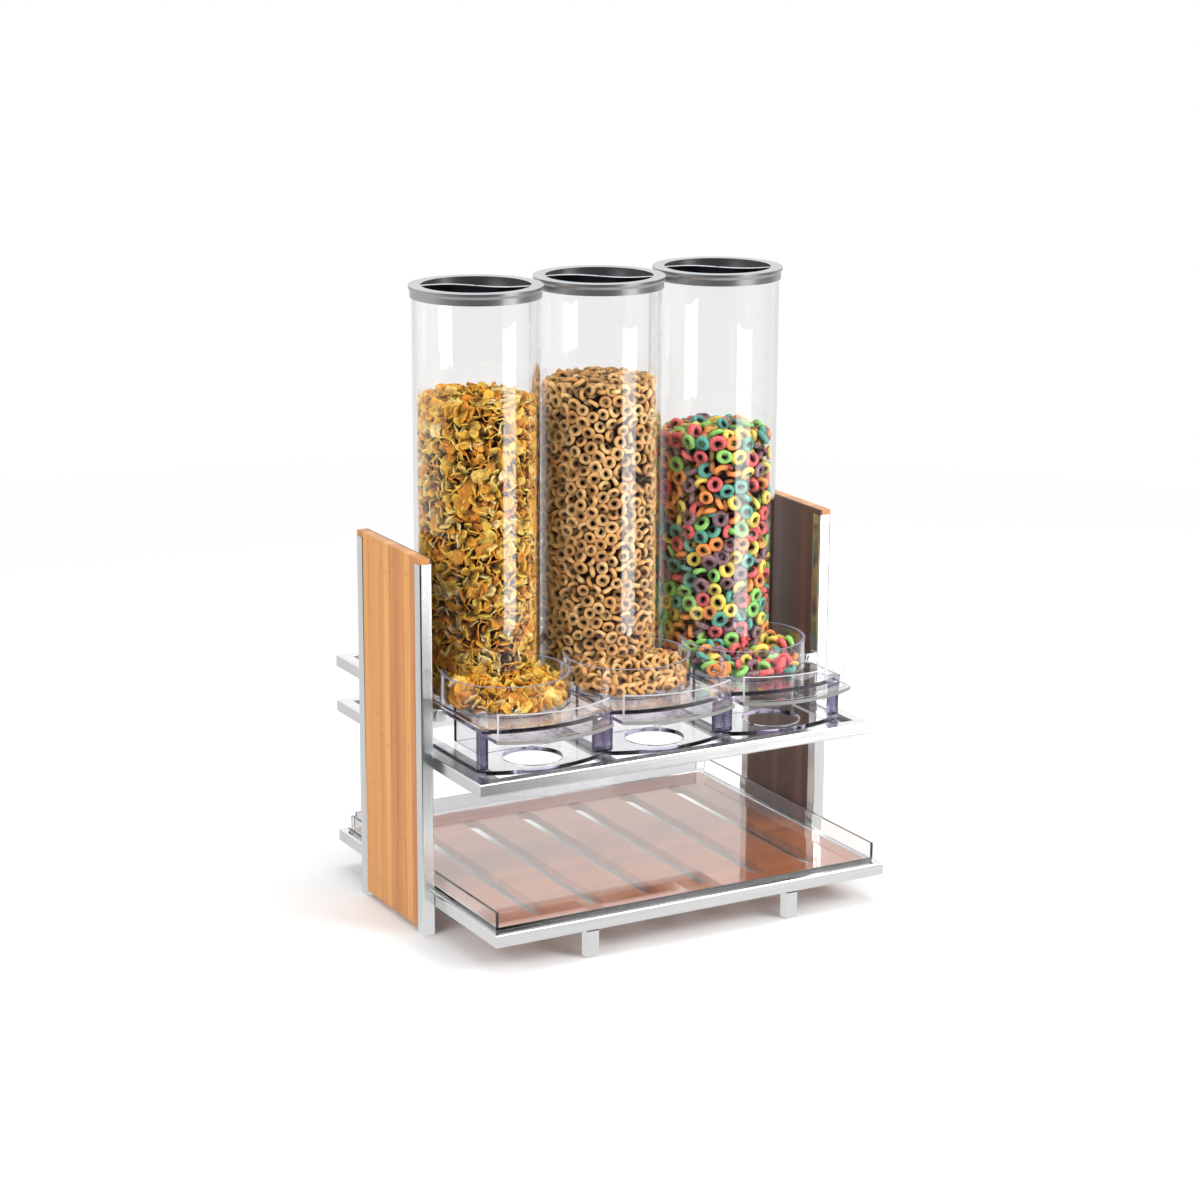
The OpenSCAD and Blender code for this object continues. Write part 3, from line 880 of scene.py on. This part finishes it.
def grip_fin(centre, recess_r, z0, z1):
    """S-curved fin: a straight bar cut into many lengths, each moved onto the curve, and a dimple."""
    thick, sag, lengths = 4 * MM, 8 * MM, 64
    reach = recess_r + 0.4 * MM
    fin = block("grip_fin", (centre[0] - reach, centre[1] - thick / 2, z0),
                (centre[0] + reach, centre[1] + thick / 2, z1))
    bpy.ops.object.mode_set(mode="EDIT")
    for k in range(1, lengths):
        bpy.ops.mesh.select_all(action="SELECT")
        x = centre[0] - reach + 2 * reach * k / lengths
        bpy.ops.mesh.bisect(plane_co=(x, 0, 0), plane_no=(1, 0, 0))
    for height in (z1 - 2.1 * MM, z1 - 1.6 * MM):
        bpy.ops.mesh.select_all(action="SELECT")
        bpy.ops.mesh.bisect(plane_co=(0, 0, height), plane_no=(0, 0, 1))
    bpy.ops.object.mode_set(mode="OBJECT")
    for vertex in fin.data.vertices:
        along = (vertex.co.x - centre[0]) / reach
        vertex.co.y += sag * -math.sin(math.pi * along)
    pick(fin)
    bpy.ops.transform.rotate(value=-LID_TURN, orient_axis="Z", orient_type="GLOBAL",
                             center_override=(centre[0], centre[1], 0.0))
    settle(fin, "grip_fin")
    soften(fin, 0.9 * MM, 3, angle=50)
    cut(fin, rod("dimple", centre, 1.2 * MM, z1 - 0.8 * MM, z1 + 2 * MM, 32, top_radius=3.6 * MM))
    smooth(fin)
    return fin


# ---------------------------------------------------------------- cereal

def take_shape(shape):
    """A finished shape's points and faces; the shape goes. Triangles repeat their last corner."""
    points = np.array([v.co for v in shape.data.vertices])
    faces = [list(p.vertices) for p in shape.data.polygons]
    bpy.data.objects.remove(shape, do_unlink=True)
    return points, np.array([f if len(f) == 4 else f + f[-1:] for f in faces])


def ring_shape(major, minor, around, across, rng):
    """A lumpy ring, thicker on one side and not quite round, with painted shade on the side facing its
    hole.
    """
    bpy.ops.mesh.primitive_torus_add(major_radius=major, minor_radius=minor, major_segments=around,
                                     minor_segments=across, location=(0, 0, 0))
    points, faces = take_shape(bpy.context.active_object)
    angle = np.arctan2(points[:, 1], points[:, 0])
    swell = 1 + 0.10 * np.sin(2 * angle + rng.uniform(0, 6)) + 0.07 * np.sin(3 * angle + rng.uniform(0, 6))
    middle = np.stack([np.cos(angle), np.sin(angle), 0 * angle], 1) * major
    bend = 1 + 0.06 * np.sin(2 * angle + rng.uniform(0, 6))
    # Painted shade on the side of the ring that faces its hole.
    hollow = np.clip((major - np.hypot(points[:, 0], points[:, 1])) / minor, 0, 1)
    ring = middle * bend[:, None] + (points - middle) * swell[:, None]
    return ring + rng.normal(0, minor * 0.05, ring.shape), faces, hollow


def flake_shape(length, width, thick, rng):
    """A curled flake with a ragged outline, blistered and no thicker than card, with painted shade in its
    dished middle and in random patches.
    """
    bpy.ops.mesh.primitive_grid_add(x_subdivisions=4, y_subdivisions=4, size=2.0, location=(0, 0, 0))
    flake = bpy.context.active_object
    points = np.array([v.co for v in flake.data.vertices])
    u, v = points[:, 0], points[:, 1]
    ragged = 1 + rng.normal(0, 0.07, len(u))
    curl, twist, cup = rng.uniform(0.15, 0.85), rng.uniform(-0.45, 0.45), rng.uniform(-0.35, 0.45)
    points[:, 0] = u * np.sqrt(1 - 0.5 * v ** 2) * length / 2 * ragged
    points[:, 1] = v * np.sqrt(1 - 0.5 * u ** 2) * width / 2 * ragged
    points[:, 2] = length * (0.5 * curl * u ** 2 + 0.3 * twist * u * v) + cup * width * 0.5 * v ** 2
    points[:, 2] += rng.normal(0, 0.042 * length, len(u))
    points[:, 2] -= points[:, 2].mean()
    flake.data.vertices.foreach_set("co", points.ravel())
    apply(flake, "SOLIDIFY", thickness=thick, offset=0.0)
    points, faces = take_shape(flake)
    # Painted shade: a dish in the middle of the flake and random crumple patches.
    middle = 1 - np.clip(np.hypot(points[:, 0] / length, points[:, 1] / width) * 2, 0, 1)
    dish_shade = middle * rng.uniform(0.0, 0.40)
    return points, faces, dish_shade + np.clip(rng.normal(0, 0.08, len(points)), 0, 0.3)


def random_turns(count, rng):
    """Evenly spread random rotations."""
    q = rng.normal(size=(count, 4))
    q /= np.linalg.norm(q, axis=1, keepdims=True)
    w, x, y, z = q.T
    return np.stack([
        np.stack([1 - 2 * (y * y + z * z), 2 * (x * y - z * w), 2 * (x * z + y * w)], -1),
        np.stack([2 * (x * y + z * w), 1 - 2 * (x * x + z * z), 2 * (y * z - x * w)], -1),
        np.stack([2 * (x * z - y * w), 2 * (y * z + x * w), 1 - 2 * (x * x + y * y)], -1)], 1)


def facing_turns(normals, tilt, rng):
    """Rotations that lay each item's flat side against its normal; a share, tilt, is tipped over."""
    count = len(normals)
    helper = rng.normal(size=(count, 3))
    side = np.cross(normals, helper)
    side /= np.linalg.norm(side, axis=1, keepdims=True)
    other = np.cross(normals, side)
    loose = rng.random(count) < tilt
    angle = np.where(loose, rng.uniform(0.5, 1.5, count), np.abs(rng.normal(0, 0.28, count)))
    c, s = np.cos(angle)[:, None], np.sin(angle)[:, None]
    axis = c * normals + s * side
    flat = c * side - s * normals
    return np.stack([flat, other, axis], -1)


def spread(count, low, high, spacing, rng, rounds, wrap=None):
    """Points in a box, pushed apart until they are about one spacing from each other."""
    low, high = np.array(low, float), np.array(high, float)
    points = low + rng.random((count, len(low))) * (high - low)
    for _ in range(rounds):
        delta = points[:, None, :] - points[None, :, :]
        if wrap is not None:
            delta[..., 0] -= wrap * np.round(delta[..., 0] / wrap)
        distance = np.sqrt((delta ** 2).sum(-1)) + 1e-9
        push = np.clip(spacing - distance, 0, None) * (distance > 1e-8)
        move = (delta / distance[..., None] * push[..., None]).sum(1) * 0.35
        points += np.clip(move, -spacing / 3, spacing / 3)
        start = 0 if wrap is None else 1
        points[:, start:] = np.clip(points[:, start:], low[start:], high[start:])
        if wrap is not None:
            points[:, 0] = (points[:, 0] - low[0]) % wrap + low[0]
    return points


class Pile:
    """Collects placed items of one cereal and turns them into one mesh."""

    def __init__(self, shapes, size, sizes, rng):
        self.shapes, self.size, self.sizes, self.rng = shapes, size, sizes, rng
        self.points, self.faces, self.tones, self.hollows, self.total = [], [], [], [], 0

    def place(self, centres, turns, within, floor_z):
        """Adds an item at each centre. within is (x, y, radius) of the wall that nothing may pass."""
        count = len(centres)
        choice = self.rng.integers(0, len(self.shapes), count)
        sizes = self.rng.uniform(*self.sizes, count)
        tones = self.rng.random(count)
        for k, (points, faces, hollow) in enumerate(self.shapes):
            mine = np.where(choice == k)[0]
            if not len(mine):
                continue
            body = np.einsum("nij,vj->nvi", turns[mine], points) * sizes[mine][:, None, None]
            body += centres[mine][:, None, :]
            body = push_inside(body, within)
            drop = np.clip(floor_z - body[..., 2].min(1), 0, None)
            body[..., 2] += drop[:, None]
            offsets = self.total + np.arange(len(mine)) * len(points)
            self.points.append(body.reshape(-1, 3))
            self.faces.append((faces[None] + offsets[:, None, None]).reshape(-1, 4))
            self.tones.append(np.repeat(tones[mine], len(points)))
            self.hollows.append(np.tile(hollow, len(mine)))
            self.total += len(mine) * len(points)

    def build(self, name, depth, material, body, slot, *nodes):
        """Makes the mesh. depth tells how far under the pile's outside each point lies, from 0 to 1; it
        becomes painted shade.
        """
        points, faces = np.concatenate(self.points), np.concatenate(self.faces)
        mesh = bpy.data.meshes.new(name)
        mesh.from_pydata(points.tolist(), [], [tidy_face(f) for f in faces.tolist()])
        # Painted shade: points deep in the pile and in each item's hollows go dark.
        pile_shade = 1 - (1 - np.clip(depth(points), 0, 1)) * (1 - 0.85 * np.concatenate(self.hollows))
        for label, values in (("item_tone", np.concatenate(self.tones)), ("item_shade", pile_shade)):
            mesh.attributes.new(label, "FLOAT", "POINT").data.foreach_set("value", values)
        mesh.polygons.foreach_set("use_smooth", [True] * len(mesh.polygons))
        mesh.update()
        pile = bpy.data.objects.new(name, mesh)
        bpy.context.scene.collection.objects.link(pile)
        return hand_over(pile, material, body, slot, *nodes)


def tidy_face(face):
    return face if face[2] != face[3] else face[:3]


def push_inside(body, within):
    """Moves items towards the middle until no point passes the wall."""
    x, y, radius = within
    offset = body[..., :2] - np.array([x, y])
    reach = np.sqrt((offset ** 2).sum(-1)).max(1)
    middle = offset.mean(1)
    length = np.sqrt((middle ** 2).sum(-1)) + 1e-9
    back = np.clip(reach - radius, 0, None)
    body[..., :2] -= (middle / length[:, None] * back[:, None])[:, None, :]
    return body


def fill_layer(pile, tube_c, ring_r, wall, z0, z1, spacing, tilt):
    """One layer of items round the tube, flat side outwards as far as the tilt lets them."""
    rng, size = pile.rng, pile.size
    girth = 2 * math.pi * ring_r
    count = int(girth * (z1 - z0) / (spacing ** 2 * 0.80))
    flat = spread(count, (0, z0), (girth, z1), spacing, rng, 36, wrap=girth)
    angle = flat[:, 0] / ring_r
    normal = np.stack([np.cos(angle), np.sin(angle), 0 * angle], 1)
    depth = ring_r + rng.normal(0, size * 0.04, count)
    centres = np.stack([tube_c[0] + normal[:, 0] * depth, tube_c[1] + normal[:, 1] * depth, flat[:, 1]], 1)
    pile.place(centres, facing_turns(normal, tilt, rng), wall, z0 + 0.3 * MM)


def fill_top(pile, tube_c, bore_r, wall, z1, spacing, mound):
    """The loose top of the column, a little higher in the middle."""
    rng, size = pile.rng, pile.size
    for level, lift in ((0, 0.0), (1, -0.45)):
        count = int(4 * bore_r ** 2 / (spacing ** 2 * 0.80))
        flat = spread(count, (-bore_r, -bore_r), (bore_r, bore_r), spacing, rng, 30)
        flat = flat[(flat ** 2).sum(1) < (bore_r - size * 0.35) ** 2]
        rise = mound * (1 - (flat ** 2).sum(1) / bore_r ** 2) + rng.normal(0, size * 0.10, len(flat))
        centres = np.stack([tube_c[0] + flat[:, 0], tube_c[1] + flat[:, 1], z1 + rise + lift * size], 1)
        upward = np.tile((0.0, 0.0, 1.0), (len(flat), 1))
        pile.place(centres, facing_turns(upward, 0.45 + 0.3 * level, rng), wall, z1 - size)


def heap_surface(points, tube_c, cup_c, cup_r, deck):
    """Height of the heap in the cup: it slopes down from the tube's opening to the front of the cup."""
    y0, tube_front = cup_c[1] - cup_r, tube_c[1] - 57 * MM
    back = np.clip((points[:, 1] - y0) / (tube_front - y0), 0, 1)
    return deck + HEAP_FRONT + (HEAP_BACK - HEAP_FRONT) * back ** 1.3


def fill_cup(pile, tube_c, cup_c, cup_r, deck, spacing):
    """The heap in the cup, under its sloping surface."""
    rng, size = pile.rng, pile.size
    y0, y1, back_z = cup_c[1] - cup_r, FOOT_OPENING_BACK, deck + HEAP_BACK
    box = (2 * cup_r) * (y1 - y0) * (back_z - deck)
    count = int(box / (spacing ** 3 * 0.66))
    low = (cup_c[0] - cup_r, y0, deck + size * 0.15)
    points = spread(count, low, (cup_c[0] + cup_r, y1, back_z), spacing, rng, 24)
    surface = heap_surface(points, tube_c, cup_c, cup_r, deck) - size * 0.30
    inside = ((points[:, :2] - np.array(cup_c)) ** 2).sum(1) < (cup_r - size * 0.12) ** 2
    points = points[inside & (points[:, 2] < surface)]
    pile.place(points, random_turns(len(points), rng), (*cup_c, cup_r - 0.25 * MM), deck + 0.3 * MM)


def fill_station(side, station):
    """Fills a tube and its cup: items at the wall, a deeper layer with the top, the heap and a near-black
    core that is painted shade for the column's inside.
    """
    tube_c, bore_r, cup_c, cup_r, deck = station
    body = f"dispenser_{side}"
    _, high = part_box(f"cereal_{side}")
    kind = CEREALS[side]
    rng = np.random.default_rng(kind["seed"])
    size, tilt, slot = kind["size"], kind["tilt"], kind["slot"]
    shapes = [kind["shape"](rng) for _ in range(kind["variants"])]
    material = paints[kind["paint"]]
    z1 = high.z - size * 0.55 - kind["mound"]
    wall = (*tube_c, bore_r - 0.25 * MM)
    sink = kind["sink"]

    # Painted shade of the column: darker away from the tube's wall and under its top.
    def in_tube(points):
        reach = np.hypot(points[:, 0] - tube_c[0], points[:, 1] - tube_c[1])
        crown = z1 + kind["mound"] * (1 - (reach / bore_r) ** 2) + size * 0.5
        return np.minimum((bore_r - reach) / sink - 0.08, (crown - points[:, 2]) / (sink * 1.3) - 0.15)

    # Painted shade of the heap: darker away from the cup's wall and under the heap's surface.
    def in_cup(points):
        reach = np.hypot(points[:, 0] - cup_c[0], points[:, 1] - cup_c[1])
        crown = heap_surface(points, tube_c, cup_c, cup_r, deck)
        below = (crown - points[:, 2]) / (sink * 1.6) - 0.25
        return 0.85 * np.minimum((cup_r - reach) / sink - 0.10, below)

    outer, deeper, heap = [Pile(shapes, size, kind["sizes"], rng) for _ in range(3)]
    fill_layer(outer, tube_c, bore_r - size * kind["inset"], wall, deck, z1, size * kind["spacing"], tilt)
    outer.build(f"cereal_{side}_wall", in_tube, material, body, slot, f"cereal_{side}")
    inner_r = bore_r - size * (kind["inset"] + kind["layer"])
    fill_layer(deeper, tube_c, inner_r, wall, deck, z1, size * kind["spacing"] * kind["deep"], 0.8)
    fill_top(deeper, tube_c, bore_r, wall, z1, size * kind["spacing"] * 0.92, kind["mound"])
    deeper.build(f"cereal_{side}_middle", in_tube, material, body, slot)
    fill_cup(heap, tube_c, cup_c, cup_r, deck, size * kind["packing"])
    heap.build(f"cereal_{side}_heap", in_cup, material, body, slot)
    # A near-black core inside the column, put there as painted shade for the pile's inside.
    core = rod(f"cereal_{side}_core", tube_c, inner_r - size * 0.15, deck + MM, z1 - size * 0.3, 48)
    soften(core, 2 * MM, 2)
    hand_over(core, paints[f"core_{side}"], body, slot)


CEREALS = {
    "left": {
        "seed": 11, "variants": 28, "size": 13 * MM, "sizes": (0.50, 1.0), "spacing": 0.60, "inset": 0.22,
        "layer": 0.36, "tilt": 0.86, "packing": 0.52, "sink": 8 * MM, "mound": 7 * MM, "deep": 1.12,
        "slot": "corn_flakes", "paint": "flake_crust",
        "shape": lambda rng: flake_shape(rng.uniform(12, 21) * MM, rng.uniform(9, 15) * MM, 0.8 * MM, rng),
    },
    "middle": {
        "seed": 23, "variants": 10, "size": 12.6 * MM, "sizes": (0.86, 1.06), "spacing": 0.97,
        "inset": 0.24, "layer": 0.50, "tilt": 0.38, "packing": 0.70, "sink": 7 * MM,
        "mound": 4 * MM, "deep": 0.95,
        "slot": "oat_rings", "paint": "ring_crust",
        "shape": lambda rng: ring_shape(4.0 * MM, 2.3 * MM, 12, 6, rng),
    },
    "right": {
        "seed": 37, "variants": 10, "size": 15.8 * MM, "sizes": (0.86, 1.06), "spacing": 0.93,
        "inset": 0.24, "layer": 0.46, "tilt": 0.44, "packing": 0.70, "sink": 9 * MM,
        "mound": 8 * MM, "deep": 0.95,
        "slot": "coloured_loops", "paint": "loop_crust",
        "shape": lambda rng: ring_shape(5.05 * MM, 2.85 * MM, 13, 7, rng),
    },
}

# ---------------------------------------------------------------- the whole object

make_camera()
make_stage()
finishes = {
    "grain": make_lengthwise_grain(),
    "strips": make_bamboo_strips(),
    "fleck": make_fleck(),
    "crust": make_crust_and_pile_shade(),
}
paints = {
    "steel_x": steel("steel_x", "X"),
    "steel_y": steel("steel_y", "Y"),
    "steel_z": steel("steel_z", "Z"),
    "dark_plastic": dark_plastic(),
    "side_bamboo": bamboo("side_bamboo", "YXZ", 0.0108, 0.28, 0.13, (0.71, 0.345, 0.080),
                          (0.60, 0.232, 0.038), (0.38, 0.113, 0.018), inner=0.2045),
    "board_bamboo": bamboo("board_bamboo", "YZX", 0.019, 0.22, 0.10, (0.48, 0.180, 0.062),
                           (0.38, 0.118, 0.036), (0.24, 0.068, 0.021)),
    "clear_sheet": clear_plastic("clear_sheet", (0.975, 0.975, 0.975)),
    "clear_acrylic": clear_plastic("clear_acrylic", (0.955, 0.95, 0.965)),
    "clear_tube": clear_plastic("clear_tube", (0.995, 0.995, 0.995)),
    "purple_edge": clear_plastic("purple_edge", (0.56, 0.52, 0.69), 0.08),
    "purple_column": clear_plastic("purple_column", (0.20, 0.17, 0.29), 0.02),
    # Rim and polished edges: pale colour as a painted highlight on the cut acrylic; the glue line is real
    # cement.
    "rim_edge": edge_highlight_and_glue("rim_edge", (0.50, 0.47, 0.64), 0.45),
    "polished_edge_highlight": edge_highlight_and_glue("polished_edge_highlight", (0.93, 0.91, 0.94), 0.35),
    "glue_line": edge_highlight_and_glue("glue_line", (0.50, 0.50, 0.46), 0.55, 0.0004),
    "sheet_edge": clear_plastic("sheet_edge", (0.42, 0.41, 0.45), 0.05),
    "clear_rubber": clear_rubber(),
    "lid_plastic": lid_plastic(),
    "flake_crust": toasted("flake_crust",
                           [(0.0, (0.66, 0.210, 0.012)), (0.25, (0.95, 0.43, 0.026)),
                            (0.55, (1.0, 0.63, 0.060)), (0.85, (1.0, 0.75, 0.14)),
                            (1.0, (1.0, 0.89, 0.46))],
                           (0.70, 0.230, 0.016), (0.032, 0.012, 0.003), amount=0.60, bump=0.0007),
    "ring_crust": toasted("ring_crust",
                          [(0.0, (0.70, 0.350, 0.110)), (0.5, (0.86, 0.490, 0.175)),
                           (1.0, (0.97, 0.660, 0.290))],
                          (0.55, 0.240, 0.062), (0.028, 0.014, 0.007), amount=0.60),
    "loop_crust": coloured_crust("loop_crust",
                                 [(1.0, 0.29, 0.025), (0.82, 0.062, 0.085), (0.96, 0.72, 0.080),
                                  (0.26, 0.70, 0.120), (0.034, 0.38, 0.29), (0.230, 0.095, 0.135)],
                                 (0.95, 0.85, 0.62), (0.030, 0.024, 0.022)),
    # Near-black cores: painted shade inside the columns.
    "core_left": toasted("core_left", [(0.0, (0.06, 0.020, 0.004)), (1.0, (0.09, 0.032, 0.007))],
                         (0.03, 0.010, 0.003), WHITE),
    "core_middle": toasted("core_middle", [(0.0, (0.04, 0.016, 0.006)), (1.0, (0.06, 0.022, 0.008))],
                           (0.015, 0.006, 0.002), WHITE),
    "core_right": toasted("core_right", [(0.0, (0.035, 0.012, 0.012)), (1.0, (0.05, 0.018, 0.015))],
                          (0.015, 0.007, 0.007), WHITE),
}
dress_stand()
for side in SIDES:
    fill_station(side, make_dispenser(side))
